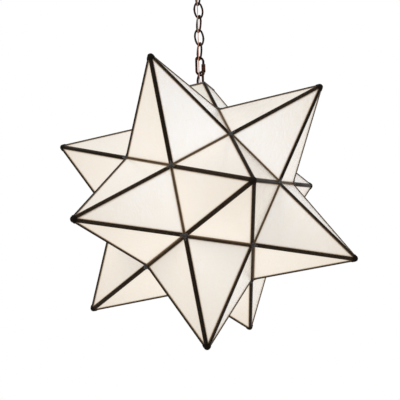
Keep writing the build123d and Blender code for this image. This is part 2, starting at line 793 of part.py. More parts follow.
with BuildPart() as canopy_loop:
    with BuildSketch(Plane.XY.offset(collar_low)):
        Circle(canopy_loop_stem_radius)
    extrude(amount=-canopy_loop_stem_height)
    stem_edge = canopy_loop.edges().filter_by(GeomType.CIRCLE).sort_by(Axis.Z)[:1]
    fillet(stem_edge, radius=fitting_rounding)
    with Locations(Location((0, 0, ring_centre), (0, 90, 0))):
        Torus(canopy_loop_ring_radius, loop_wire_radius)
    with BuildSketch(Plane.XY.offset(collar_low)):
        Circle(stem_radius + thread_clearance)
    extrude(amount=-stem_engagement - canopy_loop_socket_spare, mode=Mode.SUBTRACT)
    with BuildSketch(Plane.XY.offset(ring_centre)):
        Circle(cord_hole_radius)
    extrude(amount=collar_low - ring_centre, mode=Mode.SUBTRACT)
save(hung(canopy_loop.part), "canopy_loop")

# Lamp cord: from the canopy, down beside the chain's middle line, into the star and to the holder
ring_hole_top = ring_centre + canopy_loop_ring_radius
cord_points = [
    (0, 0, -bar_thickness),
    (cord_sway, 0, collar_low),
    (0, 0, ring_hole_top - cord_ring_bend),
    (-cord_side, -cord_side, link_tops[0] + cord_chain_bend),
    (-cord_side - cord_sway, -cord_side, link_tops[0] - link_length / 2),
    (-cord_side, -cord_side - cord_sway, link_tops[3] - link_length / 2),
    (-cord_side - cord_sway, -cord_side, quick_middle),
    (-cord_side, -cord_side, quick_top - quick_length - cord_quick_bend),
    (0, 0, stem_top + cord_stem_bend),
    (cord_sway, 0, stem_top - bushing_depth),
    (0, 0, stem_low + cord_end_rise),
]


def corner_radii(points):
    """Radius of each bend, from a share of the shorter run beside it."""
    found = []
    for before, here, after in zip(points, points[1:], points[2:]):
        run_in = Vector(*here) - Vector(*before)
        run_out = Vector(*after) - Vector(*here)
        half_turn = radians(run_in.get_angle(run_out)) / 2
        found.append(cord_bend_share * min(run_in.length, run_out.length) / tan(half_turn))
    return found


cord_radii = corner_radii(cord_points)
print("cord bend radii", [round(radius, 1) for radius in cord_radii])
with BuildPart() as lamp_cord:
    with BuildLine() as cord_path:
        FilletPolyline(*cord_points, radius=cord_radii)
    with BuildSketch(Plane(origin=cord_points[0], z_dir=(0, 0, -1))):
        Circle(cord_radius)
    sweep(path=cord_path.wire())
save(hung(lamp_cord.part), "lamp_cord")
print("cord length", round(cord_path.wire().length, 1), "volume", round(lamp_cord.part.volume, 1),
      "section times length", round(pi * cord_radius**2 * cord_path.wire().length, 1))
print("cord points", [tuple(round(part, 2) for part in hung(Vertex(*spot)).center()) for spot in cord_points])
print("star centre height", round(star_height, 2))
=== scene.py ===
import math
from functools import partial

import bmesh
import bpy
from mathutils import Matrix, Vector


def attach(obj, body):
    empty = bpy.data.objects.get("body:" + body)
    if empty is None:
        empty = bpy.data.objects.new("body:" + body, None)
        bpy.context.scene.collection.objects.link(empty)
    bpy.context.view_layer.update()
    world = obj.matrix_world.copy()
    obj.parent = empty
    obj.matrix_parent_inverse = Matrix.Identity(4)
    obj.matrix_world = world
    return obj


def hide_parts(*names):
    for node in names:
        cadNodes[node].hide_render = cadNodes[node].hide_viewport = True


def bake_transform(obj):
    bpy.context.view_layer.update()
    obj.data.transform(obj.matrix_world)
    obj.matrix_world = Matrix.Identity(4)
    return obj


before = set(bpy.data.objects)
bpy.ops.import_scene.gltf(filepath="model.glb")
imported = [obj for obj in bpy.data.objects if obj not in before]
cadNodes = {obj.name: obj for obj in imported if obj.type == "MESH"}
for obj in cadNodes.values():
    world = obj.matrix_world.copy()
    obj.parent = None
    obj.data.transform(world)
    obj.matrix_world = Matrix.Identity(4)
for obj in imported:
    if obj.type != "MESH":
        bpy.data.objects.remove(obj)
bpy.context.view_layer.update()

# The star's rule, as the solids have it: metres, Z up, origin on the ceiling.
star = {
    "centre": Vector((0, 0, -0.6149)),
    "tipReach": 0.295,  # where a point's ridges would meet
    "valleyReach": 0.165,
    "ringLatitude": math.atan2(1, 2),
    "ridgeFlange": 0.0046,
    "valleyFlange": 0.0022,
    "doorFlange": 0.0034,
    "topCut": 0.251,
    "tipRadius": 0.0058,
    "tipInset": 0.0095,
    "doorGap": 0.0004,
}
fifth = math.radians(72)
cornerTurn = math.acos(math.sqrt((5 + 2 * math.sqrt(5)) / 15))
cornerHeight = star["valleyReach"] * math.cos(cornerTurn)
cornerReach = star["valleyReach"] * math.sin(cornerTurn)
edgeReach = cornerReach * math.cos(fifth / 2)
halfBase = cornerReach * math.sin(fifth / 2)
facetTilt = math.atan2(edgeReach, star["tipReach"] - cornerHeight)
seamTilt = math.atan2(edgeReach, cornerHeight)
facetHeight = math.hypot(edgeReach, star["tipReach"] - cornerHeight)
tipAngle = math.atan2(halfBase, facetHeight)


# A point's own frame: Z out along its axis, X towards the nearer pole
def pointMatrix(latitude, azimuth):
    level = math.cos(latitude)
    axis = Vector((level * math.cos(azimuth), level * math.sin(azimuth), math.sin(latitude)))
    if abs(axis.z) > 0.99:
        toward = Vector((math.cos(azimuth), math.sin(azimuth), 0))
    else:
        pole = Vector((0, 0, math.copysign(1, latitude)))
        toward = (pole - axis * pole.dot(axis)).normalized()
    turned = Matrix((toward, axis.cross(toward), axis)).transposed().to_4x4()
    return Matrix.Translation(star["centre"]) @ turned


upperPoints = [pointMatrix(star["ringLatitude"], n * fifth) for n in range(5)]
lowerPoints = [pointMatrix(-star["ringLatitude"], (n + 0.5) * fifth) for n in range(5)]
topPoint = pointMatrix(math.pi / 2, 0)
doorPoint = pointMatrix(-math.pi / 2, fifth / 2)


def addNode(tree, kind, inputs=None, **settings):
    node = tree.nodes.new(kind)
    for key, value in settings.items():
        setattr(node, key, value)
    for socket, value in (inputs or {}).items():
        if isinstance(value, bpy.types.NodeSocket):
            tree.links.new(value, node.inputs[socket])
        else:
            node.inputs[socket].default_value = value
    return node


def calc(tree, operation, *values):  # one Math node, and its result
    return addNode(tree, "ShaderNodeMath", dict(enumerate(values)), operation=operation).outputs[0]


def fourRules(tree):  # add, subtract, multiply and divide in one tree
    return [partial(calc, tree, operation) for operation in ("ADD", "SUBTRACT", "MULTIPLY", "DIVIDE")]


def combined(tree, x=0.0, y=0.0, z=0.0):
    return addNode(tree, "ShaderNodeCombineXYZ", {0: x, 1: y, 2: z}).outputs[0]


def ramp(tree, value, low, high, start=0.0, end=1.0, smooth=True):
    kind = "SMOOTHSTEP" if smooth else "LINEAR"
    inputs = {"Value": value, "From Min": low, "From Max": high, "To Min": start, "To Max": end}
    return addNode(tree, "ShaderNodeMapRange", inputs, interpolation_type=kind).outputs["Result"]


def blendColour(tree, share, first, second, kind="MIX"):
    node = addNode(tree, "ShaderNodeMix", {0: share, 6: first, 7: second}, data_type="RGBA", blend_type=kind)
    return node.outputs[2]


noiseRange = (0.3, 0.7)  # where most of a noise's values lie


def noiseValue(tree, vector, scale, detail=2.0, distortion=0.0, roughness=0.5):
    inputs = {"Vector": vector, "Scale": scale, "Detail": detail, "Distortion": distortion, "Roughness": roughness}
    return addNode(tree, "ShaderNodeTexNoise", inputs).outputs["Fac"]


def stretched(tree, vector, scale):
    return addNode(tree, "ShaderNodeMapping", {"Vector": vector, "Scale": scale}).outputs["Vector"]


def newFinish(name, **values):  # a material, its tree, its shader and its object coordinates
    finish = bpy.data.materials.new(name)
    finish.use_nodes = True
    tree = finish.node_tree
    shader = next(node for node in tree.nodes if node.type == "BSDF_PRINCIPLED")
    for socket, value in values.items():
        shader.inputs[socket.replace("_", " ")].default_value = value
    return finish, tree, shader, addNode(tree, "ShaderNodeTexCoord").outputs["Object"]


def bumped(tree, shader, height, strength, distance):
    bump = addNode(tree, "ShaderNodeBump", {"Strength": strength, "Distance": distance, "Height": height})
    tree.links.new(bump.outputs["Normal"], shader.inputs["Normal"])


# Opal glass: white round the star's middle and cream towards the tips as painted light of the bulb inside, creamier
# undersides as painted shade, a tan line along the came as a painted halo of light, and a painted glow
glass = {
    # painted light: near is the whiter colour where the bulb's light would fall, far the darker cream at the tips
    "near": (0.95, 0.882, 0.788, 1),
    "far": (0.835, 0.755, 0.65, 1),
    "nearReach": 0.16,  # from the star's middle, in metres
    "farReach": 0.27,
    # painted shade: this cream is multiplied onto facets that face down, as if less of the cool light reached them
    "under": (0.995, 0.972, 0.945, 1),
    "underLean": (0.4, -0.9),  # 1 faces up and -1 down
    # painted light: a tan halo of light in the glass along the came
    "rim": (0.66, 0.50, 0.34, 1),
    "rimShare": 0.75,
    "rimFrom": 0.0040,  # from a pane's edge, in metres
    "rimTo": 0.0014,
    "cloud": (0.90, 0.875, 0.85, 1),
    "cloudShare": 0.16,
    "cloudRange": (0.35, 0.75),
    # painted glow: how strongly facets facing down glow, standing in for the bulb's light through the glass
    "paintedGlowUnder": 0.31,
    "streakSize": 34.0,
    "streakStretch": (1.0, 1.0, 0.35),
    "rippleSize": 70.0,
    "rippleStretch": (1.0, 1.0, 0.3),
    "rippleBump": 0.0010,
    "rippleStrength": 0.6,
    "rough": (0.10, 0.22),
}


def opalGlass(name, paintedShadeTint=(1, 1, 1, 1), glowShare=1.0):
    finish, tree, shader, place = newFinish(name, Roughness=0.16, IOR=1.5)
    # Painted light of the bulb: whiter near the star's middle, darker cream towards the tips
    fromCentre = addNode(tree, "ShaderNodeVectorMath", {0: place, 1: star["centre"]}, operation="DISTANCE")
    paintedBulbGlowFalloff = ramp(tree, fromCentre.outputs["Value"], glass["nearReach"], glass["farReach"], smooth=False)
    facing = addNode(tree, "ShaderNodeTexCoord").outputs["Normal"]
    lean = addNode(tree, "ShaderNodeSeparateXYZ", {0: facing}).outputs["Z"]
    # painted shade by facing: none on facets that lean up, full on those that face down
    under = ramp(tree, lean, *glass["underLean"], smooth=False)
    edge = addNode(tree, "ShaderNodeAttribute", attribute_name="edge").outputs["Fac"]
    # painted halo: strongest at a pane's edge under the came
    rim = ramp(tree, edge, glass["rimFrom"], glass["rimTo"])
    wisps = noiseValue(tree, stretched(tree, place, glass["streakStretch"]), glass["streakSize"], 4.0, 1.6, 0.62)
    body = blendColour(tree, paintedBulbGlowFalloff, glass["near"], glass["far"])
    body = blendColour(tree, under, body, blendColour(tree, 1.0, body, glass["under"], "MULTIPLY"))
    cloudy = ramp(tree, wisps, *glass["cloudRange"], 0.0, glass["cloudShare"])
    body = blendColour(tree, cloudy, body, glass["cloud"])
    body = blendColour(tree, calc(tree, "MULTIPLY", rim, glass["rimShare"]), body, glass["rim"])
    # painted shade tint: white, except on the shaded top point
    body = blendColour(tree, 1.0, body, paintedShadeTint, "MULTIPLY")
    tree.links.new(body, shader.inputs["Base Color"])
    # Painted light: the glass glows in its own colour, not at all on facets level or facing up, and most on those
    # facing down
    lit = ramp(tree, lean, 0.0, -1.0, 0.0, glass["paintedGlowUnder"] * glowShare, smooth=False)
    glow = blendColour(tree, lit, (0, 0, 0, 1), body)
    tree.links.new(glow, shader.inputs["Emission Color"])
    shader.inputs["Emission Strength"].default_value = 1.0
    ripple = noiseValue(tree, stretched(tree, place, glass["rippleStretch"]), glass["rippleSize"], 5.0, 1.8, 0.6)
    bumped(tree, shader, ripple, glass["rippleStrength"], glass["rippleBump"])
    tree.links.new(ramp(tree, wisps, *noiseRange, *glass["rough"]), shader.inputs["Roughness"])
    return finish


patina = {
    "blotch": (0.38, 0.68),  # the noise that is dark, and that is light
    "grainToBlotch": 12,
    "worn": (0.42, 0.6),
    "edge": (0.52, 0.60),  # pointiness, from flat to rubbed
    "bump": 0.35,
    "bumpDepth": 0.00008,
}
metal = {"grain": (0.35, 0.7), "tarnish": 0.72, "polished": 0.8, "dulled": 1.25}


def darkMetal(name, dark, light, worn, size, rough, level, wear, paintedLipSheen=None):
    finish, tree, shader, place = newFinish(name, Specular_IOR_Level=level, Roughness=0.4)
    blotch = ramp(tree, noiseValue(tree, place, size, 4.0, 0.6, 0.6), *patina["blotch"])
    colour = blendColour(tree, blotch, dark, light)
    grain = noiseValue(tree, place, size * patina["grainToBlotch"], 3.0, 0.0, 0.7)
    sharp = addNode(tree, "ShaderNodeNewGeometry").outputs["Pointiness"]
    rubbed = calc(tree, "MULTIPLY", ramp(tree, sharp, *patina["edge"]), ramp(tree, grain, *patina["worn"]))
    colour = blendColour(tree, calc(tree, "MULTIPLY", rubbed, wear), colour, worn)
    if paintedLipSheen:  # painted sheen: the outer edge of a flange, lighter brown as if catching the light
        across = addNode(tree, "ShaderNodeAttribute", attribute_name="across").outputs["Fac"]
        colour = blendColour(tree, ramp(tree, across, paintedLipSheen["start"], paintedLipSheen["end"]), colour, paintedLipSheen["colour"])
    tree.links.new(colour, shader.inputs["Base Color"])
    tree.links.new(ramp(tree, grain, *noiseRange, *rough), shader.inputs["Roughness"])
    bumped(tree, shader, calc(tree, "ADD", grain, blotch), patina["bump"], patina["bumpDepth"])
    return finish


def bareMetal(name, colour, rough, size, squeeze=(1, 1, 1)):
    finish, tree, shader, place = newFinish(name, Metallic=1.0, Roughness=rough)
    grain = noiseValue(tree, stretched(tree, place, squeeze), size, 3.0, 0.2, 0.65)
    dull = tuple(part * metal["tarnish"] for part in colour[:3]) + (1,)
    tree.links.new(blendColour(tree, ramp(tree, grain, *metal["grain"]), colour, dull), shader.inputs["Base Color"])
    uneven = ramp(tree, grain, *noiseRange, rough * metal["polished"], rough * metal["dulled"])
    tree.links.new(uneven, shader.inputs["Roughness"])
    bumped(tree, shader, grain, 0.2, 0.00005)
    return finish


def mouldedPlastic(name, colour, rough, size):
    finish, tree, shader, place = newFinish(name, Roughness=rough)
    grain = noiseValue(tree, place, size, 2.0)
    pale = tuple(part * 1.5 for part in colour[:3]) + (1,)
    tree.links.new(blendColour(tree, ramp(tree, grain, 0.4, 0.7), colour, pale), shader.inputs["Base Color"])
    bumped(tree, shader, grain, 0.15, 0.00006)
    return finish


bulbLook = {
    "white": ((0.86, 0.85, 0.82, 1), (0.93, 0.92, 0.9, 1)),
    "glow": ((0.34, 0.29, 0.21, 1), (0.4, 0.34, 0.25, 1)),
    "frostSize": 700.0,
}
cordLook = {
    "gap": (0.30, 0.095, 0.042, 1),
    "copper": (0.64, 0.265, 0.14, 1),
    "strandEdge": (0.1, 0.4),
    "strandsPerMetre": 900.0,
    "rough": (0.22, 0.36),
}


def frostedBulb(name):
    finish, tree, shader, place = newFinish(name, Roughness=0.35, IOR=1.5, Transmission_Weight=0.25)
    frost = noiseValue(tree, place, bulbLook["frostSize"], 2.0)
    tree.links.new(blendColour(tree, frost, *bulbLook["white"]), shader.inputs["Base Color"])
    tree.links.new(blendColour(tree, frost, *bulbLook["glow"]), shader.inputs["Emission Color"])
    shader.inputs["Emission Strength"].default_value = 1.0
    bumped(tree, shader, frost, 0.1, 0.00004)
    return finish


def clearCord(name):  # copper strands that show through a clear sheath
    finish, tree, shader, place = newFinish(name, Roughness=0.28, IOR=1.5, Coat_Weight=0.6, Coat_Roughness=0.12)
    along = addNode(tree, "ShaderNodeAttribute", attribute_name="lay").outputs["Fac"]
    strand = calc(tree, "PINGPONG", calc(tree, "MULTIPLY", along, cordLook["strandsPerMetre"]), 0.5)
    colour = blendColour(tree, ramp(tree, strand, *cordLook["strandEdge"]), cordLook["gap"], cordLook["copper"])
    tree.links.new(colour, shader.inputs["Base Color"])
    uneven = ramp(tree, noiseValue(tree, place, 300.0), *noiseRange, *cordLook["rough"])
    tree.links.new(uneven, shader.inputs["Roughness"])
    bumped(tree, shader, strand, 0.3, 0.00006)
    return finish


finishes = {
    "panes": opalGlass("opalGlass"),
    # painted shade: the top point's glass, greyed and with less glow, as the shaded copy of the opal glass
    "topPanes": opalGlass("opalGlassShaded", (0.93, 0.945, 0.915, 1), 0.35),
    "ridge": darkMetal(
        "ridgeCame",
        dark=(0.0062, 0.0040, 0.0021, 1), light=(0.0125, 0.0080, 0.0042, 1), worn=(0.075, 0.050, 0.030, 1),
        size=55.0, rough=(0.4, 0.6), level=0.03, wear=0.5,
        # painted sheen along the outer edges of the ridge came's flanges
        paintedLipSheen={"start": 0.0032, "end": 0.0044, "colour": (0.150, 0.104, 0.064, 1)},
    ),
    # painted light: the valley came is a lighter brown copy of the came metal, made lighter to make up for the
    # shade in the star's valleys
    "valley": darkMetal(
        "valleyCamePaintedLight", dark=(0.062, 0.039, 0.022, 1), light=(0.105, 0.067, 0.039, 1), worn=(0.20, 0.14, 0.085, 1),
        size=70.0, rough=(0.4, 0.6), level=0.06, wear=0.5,
        # painted sheen along the outer edges of the valley came's flanges
        paintedLipSheen={"start": 0.0010, "end": 0.0021, "colour": (0.19, 0.128, 0.074, 1)},
    ),
    "seam": darkMetal(
        "doorSeamCame", dark=(0.034, 0.019, 0.009, 1), light=(0.060, 0.036, 0.018, 1), worn=(0.14, 0.095, 0.055, 1),
        size=70.0, rough=(0.4, 0.6), level=0.06, wear=0.5,
    ),
    "solder": darkMetal(
        "agedSolder", dark=(0.016, 0.0125, 0.0105, 1), light=(0.046, 0.038, 0.034, 1), worn=(0.16, 0.14, 0.13, 1),
        size=160.0, rough=(0.3, 0.55), level=0.35, wear=0.5,
    ),
    "bronze": darkMetal(
        "mahoganyBronze",
        dark=(0.0075, 0.0026, 0.0012, 1), light=(0.0380, 0.0115, 0.0045, 1), worn=(0.15, 0.055, 0.026, 1),
        size=120.0, rough=(0.32, 0.5), level=0.06, wear=0.5,
    ),
    "brass": bareMetal("satinBrass", (0.62, 0.47, 0.24, 1), 0.32, 260.0),
    "zinc": bareMetal("zincSteel", (0.60, 0.61, 0.60, 1), 0.34, 420.0, (1, 0.2, 1)),
    "bulbCap": bareMetal("bulbCapMetal", (0.74, 0.73, 0.71, 1), 0.24, 300.0),
    "plastic": mouldedPlastic("blackPhenolic", (0.018, 0.017, 0.016, 1), 0.38, 500.0),
    "bulb": frostedBulb("frostedBulb"),
    "cord": clearCord("clearCopperCord"),
}
print("finishes made:", len(finishes))


def newPiece(name, mesh, body, slotName, *replaced, finish=()):
    piece = bpy.data.objects.new(name, mesh)
    bpy.context.scene.collection.objects.link(piece)
    for material in finish:
        mesh.materials.append(material)
    if body:
        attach(piece, body)
    if replaced:
        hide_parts(*replaced)
    return piece


softCorner, wireCorner = 50, 60  # degrees


def eased(mesh, degrees=32):  # smooth shading with its corners kept
    mesh.shade_smooth()
    mesh.set_sharp_from_angle(angle=math.radians(degrees))
    return mesh


def thickened(mesh, thickness, offset):
    holder = bpy.data.objects.new("thickening", mesh)
    bpy.context.scene.collection.objects.link(holder)
    wall = holder.modifiers.new("wall", "SOLIDIFY")
    wall.thickness = thickness
    wall.offset = offset
    solid = bpy.data.meshes.new_from_object(holder.evaluated_get(bpy.context.evaluated_depsgraph_get()))
    bpy.data.objects.remove(holder)
    return solid


def newTree(name, **sizes):  # a geometry tree with named inputs
    tree = bpy.data.node_groups.new(name, "GeometryNodeTree")
    tree.interface.new_socket("Geometry", in_out="OUTPUT", socket_type="NodeSocketGeometry")
    kinds = {int: "NodeSocketInt", float: "NodeSocketFloat"}
    for label, value in sizes.items():
        kind = kinds.get(type(value), "NodeSocketMaterial")
        tree.interface.new_socket(label, in_out="INPUT", socket_type=kind).default_value = value
    return tree, tree.nodes.new("NodeGroupInput").outputs


def closeTree(tree, geometry, material):
    whole = addNode(tree, "GeometryNodeRealizeInstances", {"Geometry": geometry}).outputs[0]
    dressed = addNode(tree, "GeometryNodeSetMaterial", {"Geometry": whole, "Material": material}).outputs[0]
    tree.links.new(dressed, tree.nodes.new("NodeGroupOutput").inputs[0])


def grown(tree, **sizes):  # the plain mesh that a tree gives for these sizes
    holder = bpy.data.objects.new(tree.name, bpy.data.meshes.new(tree.name))
    bpy.context.scene.collection.objects.link(holder)
    modifier = holder.modifiers.new(tree.name, "NODES")
    modifier.node_group = tree
    sockets = {item.name: item.identifier for item in tree.interface.items_tree if item.in_out == "INPUT"}
    for label, value in sizes.items():
        modifier[sockets[label]] = value
    mesh = bpy.data.meshes.new_from_object(holder.evaluated_get(bpy.context.evaluated_depsgraph_get()))
    bpy.data.objects.remove(holder)
    return mesh


# Camera at the photograph's angle, from below
camera = {
    "place": (-0.934923, -1.311717, -1.691382),
    "right": (0.82387, -0.56643, -0.01977),
    "down": (0.30173, 0.46786, -0.83070),
    "view": (0.47979, 0.67843, 0.55636),
    "lens": 98.435,
    "sensorWidth": 36,
    "farthest": 50,
}
cameraData = bpy.data.cameras.new("photoCamera")
cameraData.lens = camera["lens"]
cameraData.sensor_width = camera["sensorWidth"]
cameraData.clip_end = camera["farthest"]
cameraObject = bpy.data.objects.new("photoCamera", cameraData)
axes = Matrix((Vector(camera["right"]), -Vector(camera["down"]), -Vector(camera["view"]))).transposed()
cameraObject.matrix_world = Matrix.Translation(camera["place"]) @ axes.to_4x4()
bpy.context.scene.collection.objects.link(cameraObject)
bpy.context.scene.camera = cameraObject

# Glass panes: five to a point, rippled like rolled glass and flat where the came holds them
panes = {
    "ridgeGrip": 0.0012,  # how far the came holds a pane
    "baseGrip": 0.0013,
    "tipGap": 0.00015,
    "cornerClip": 0.0034,
    "depth": 0.00115,
    "thickness": 0.003,
    "ripple": 0.00016,
    "rippleSize": 0.011,
    "rippleStretch": 3.2,
    "flatEdge": 0.0018,
    "fullRippleFrom": 0.012,
    "rows": 46,
    "columns": 31,
}


def paneTree():
    tree, given = newTree(
        "rolledPanes", facetHeight=facetHeight, halfBase=halfBase, edgeReach=edgeReach, cornerHeight=cornerHeight,
        tilt=facetTilt, ridgeSide=0.004, baseInset=0.0009, firstInset=0.0009, cornerClip=0.0034, topEdge=0.17,
        depth=0.001, ripple=0.0002, rippleSize=0.011, seed=1, rows=46, columns=31, material=finishes["panes"],
    )
    plus, minus, times, over = fourRules(tree)
    size = {"Size X": 2.0, "Size Y": 1.0, "Vertices X": given["columns"], "Vertices Y": given["rows"]}
    grid = addNode(tree, "GeometryNodeMeshGrid", size)
    sides = addNode(tree, "GeometryNodePoints", {"Count": 5})
    count = tree.nodes.new("GeometryNodeInputIndex").outputs[0]
    numbered = {"Geometry": sides.outputs[0], "Name": "side", "Value": count}
    marked = addNode(tree, "GeometryNodeStoreNamedAttribute", numbered, data_type="INT", domain="POINT")
    copied = {"Points": marked.outputs[0], "Instance": grid.outputs[0]}
    copies = addNode(tree, "GeometryNodeInstanceOnPoints", copied)
    sheet = addNode(tree, "GeometryNodeRealizeInstances", {"Geometry": copies.outputs[0]}).outputs[0]
    side = addNode(tree, "GeometryNodeInputNamedAttribute", {"Name": "side"}, data_type="INT").outputs[0]
    spot = addNode(tree, "ShaderNodeSeparateXYZ", {0: tree.nodes.new("GeometryNodeInputPosition").outputs[0]})
    across, up = spot.outputs["X"], plus(spot.outputs["Y"], 0.5)
    first = calc(tree, "LESS_THAN", side, 0.5)
    inset = plus(times(first, given["firstInset"]), times(minus(1.0, first), given["baseInset"]))
    rise = times(up, minus(given["topEdge"], inset))
    high = plus(inset, rise)

    def halfAt(height):
        return minus(times(minus(1.0, over(height, given["facetHeight"])), given["halfBase"]), given["ridgeSide"])

    clipped = plus(minus(halfAt(inset), given["cornerClip"]), rise)
    half = calc(tree, "MAXIMUM", 0.0, calc(tree, "MINIMUM", halfAt(high), clipped))
    shift = times(across, half)
    toSide = minus(half, calc(tree, "ABSOLUTE", shift))
    toTop = minus(given["topEdge"], high)
    edge = calc(tree, "MINIMUM", calc(tree, "MINIMUM", rise, toSide), toTop)
    veins = combined(
        tree, over(shift, given["rippleSize"]), over(high, times(given["rippleSize"], panes["rippleStretch"])),
        plus(times(side, 7.3), times(given["seed"], 41.7)),  # so that no two panes match
    )
    swell = times(minus(noiseValue(tree, veins, 1.0, 2.0, 0.9), 0.5), given["ripple"])
    free = ramp(tree, edge, panes["flatEdge"], panes["fullRippleFrom"], 0.0, 2.0)
    out = minus(times(swell, free), given["depth"])
    sine, cosine = calc(tree, "SINE", given["tilt"]), calc(tree, "COSINE", given["tilt"])
    reach = plus(given["edgeReach"], minus(times(out, cosine), times(high, sine)))
    level = plus(given["cornerHeight"], plus(times(high, cosine), times(out, sine)))
    flat = combined(tree, reach, shift, level)
    sideTurn = {"Vector": flat, "Angle": times(side, fifth)}
    turned = addNode(tree, "ShaderNodeVectorRotate", sideTurn, rotation_type="Z_AXIS")
    edged = {"Geometry": sheet, "Name": "edge", "Value": edge}
    kept = addNode(tree, "GeometryNodeStoreNamedAttribute", edged, data_type="FLOAT", domain="POINT")
    shaped = addNode(tree, "GeometryNodeSetPosition", {"Geometry": kept.outputs[0], "Position": turned.outputs[0]})
    joined = addNode(tree, "GeometryNodeMergeByDistance", {"Geometry": shaped.outputs[0], "Distance": 0.00001})
    closeTree(tree, joined.outputs[0], given["material"])
    return tree


rolledPanes = paneTree()


def panePiece(name, node, body, matrix, seed, firstInset, baseInset, cut=False):
    ridgeSide = (star["ridgeFlange"] - panes["ridgeGrip"]) / math.cos(tipAngle)
    tip = facetHeight - star["tipInset"] * math.cos(facetTilt) - star["tipRadius"] - panes["tipGap"]
    cutEdge = (star["topCut"] - cornerHeight) / math.cos(facetTilt) - star["valleyFlange"] + panes["baseGrip"]
    mesh = grown(
        rolledPanes, ridgeSide=ridgeSide, baseInset=baseInset, firstInset=firstInset, seed=seed,
        topEdge=cutEdge if cut else tip, cornerClip=panes["cornerClip"], depth=panes["depth"],
        ripple=panes["ripple"], rippleSize=panes["rippleSize"], rows=panes["rows"], columns=panes["columns"],
        material=finishes["topPanes" if cut else "panes"],
    )
    solid = eased(thickened(mesh, panes["thickness"], -1))
    solid.transform(matrix)
    newPiece(name, solid, body, "glass", node)


even = star["valleyFlange"] - panes["baseGrip"]
wide = star["doorFlange"] - panes["baseGrip"]  # along the door's wider came
for n in range(5):
    panePiece(f"upperGlass{n + 1}", f"upper_panes_{n + 1}", "star", upperPoints[n], n + 1, even, even)
    panePiece(f"lowerGlass{n + 1}", f"lower_panes_{n + 1}", "star", lowerPoints[n], n + 11, wide, even)
panePiece("topGlass", "top_panes", "star", topPoint, 21, even, even, cut=True)
panePiece("doorGlass", "door_panes", "door", doorPoint, 31, wide, wide)
print("panes set in twelve points")

# Cames: each strip of a CAD node is merged by itself, and its arrises are eased as drawn lead is
cames = {
    "easing": 0.00032, "easingSteps": 2, "mergeWithin": 0.000002, "inside": 0.00001, "speck": 1e-13,
    "flatWithin": 0.4, "arrisFrom": 28,  # degrees
}


def cornerInPoint(n):  # the nth corner of a point's base, in the point's own frame
    turn = (n + 0.5) * fifth
    return Vector((cornerReach * math.cos(turn), cornerReach * math.sin(turn), cornerHeight))


def workedCames(node, matrix, flange):
    mitre = cornerHeight + flange * math.cos(facetTilt)
    source, toPoint = cadNodes[node].data, matrix.inverted()
    strips = {}
    for face in source.polygons:
        if face.area < cames["speck"]:
            continue
        inner = toPoint @ (face.center - face.normal * cames["inside"])
        turn = math.atan2(inner.y, inner.x) / fifth
        key = ("valley", round(turn) % 5) if inner.z < mitre else ("ridge", round(turn - 0.5) % 5)
        strips.setdefault(key, []).append([source.vertices[v].co.copy() for v in face.vertices])
    whole = bmesh.new()
    for (kind, _), faces in sorted(strips.items()):
        strip = bmesh.new()
        for corners in faces:
            strip.faces.new([strip.verts.new(corner) for corner in corners])
        bmesh.ops.remove_doubles(strip, verts=strip.verts, dist=cames["mergeWithin"])
        flat, sharp = math.radians(cames["flatWithin"]), math.radians(cames["arrisFrom"])
        bmesh.ops.dissolve_limit(strip, angle_limit=flat, verts=strip.verts, edges=strip.edges)
        arrises = [e for e in strip.edges if e.is_manifold and e.calc_face_angle(0) > sharp]
        bmesh.ops.bevel(strip, geom=arrises, offset=cames["easing"], segments=cames["easingSteps"], profile=0.5,
                        affect="EDGES", clamp_overlap=True)
        bmesh.ops.triangulate(strip, faces=[f for f in strip.faces if len(f.verts) > 4])
        for face in strip.faces:
            face.material_index = 1 if kind == "valley" else 0
        part = bpy.data.meshes.new("strip")
        strip.to_mesh(part)
        strip.free()
        whole.from_mesh(part)
        bpy.data.meshes.remove(part)
    mesh = bpy.data.meshes.new(node)
    whole.to_mesh(mesh)
    whole.free()
    across = mesh.attributes.new("across", "FLOAT", "POINT").data
    spots = [cornerInPoint(n) for n in range(5)]
    apex = Vector((0, 0, star["tipReach"]))
    ridges = [(spot, apex) for spot in spots]
    bases = list(zip(spots, spots[1:] + spots[:1]))
    for face in mesh.polygons:
        lines = bases if face.material_index else ridges
        for v in face.vertices:
            place = toPoint @ mesh.vertices[v].co
            across[v].value = min((place - start).cross((end - start).normalized()).length for start, end in lines)
    return eased(mesh)


def camePiece(name, node, body, matrix, flange, base="valley"):
    mesh = workedCames(node, matrix, flange)
    newPiece(name, mesh, body, "came", node, finish=(finishes["ridge"], finishes[base]))


for n in range(5):
    camePiece(f"upperCame{n + 1}", f"upper_came_{n + 1}", "star", upperPoints[n], star["valleyFlange"])
    camePiece(f"lowerCame{n + 1}", f"lower_came_{n + 1}", "star", lowerPoints[n], star["doorFlange"])
camePiece("topCame", "top_came", "star", topPoint, star["valleyFlange"])
camePiece("doorCame", "door_came", "door", doorPoint, star["doorFlange"], "seam")
print("cames worked")

# Solder: a lump at each tip and each corner where three points meet, with arms that run along the cames
solder = {
    "fineness": 4, "waviness": 0.05,
    "armAt": 0.0165, "armLength": 0.0083, "armSpread": 0.5, "tipShare": 0.95,  # a tip's lump
    "jointRadius": 0.0043, "jointInset": 0.0015, "ridgeArm": 0.0105, "baseArm": 0.0085,  # a corner's lump
    "ridgeSpread": 0.26, "baseSpread": 0.22, "ridgeWithin": 0.2, "sameSpot": 0.01,
    "doorRadius": 0.0034, "doorInset": 0.001, "doorArm": 0.010, "doorWithin": -0.001,  # the door's own corners
}


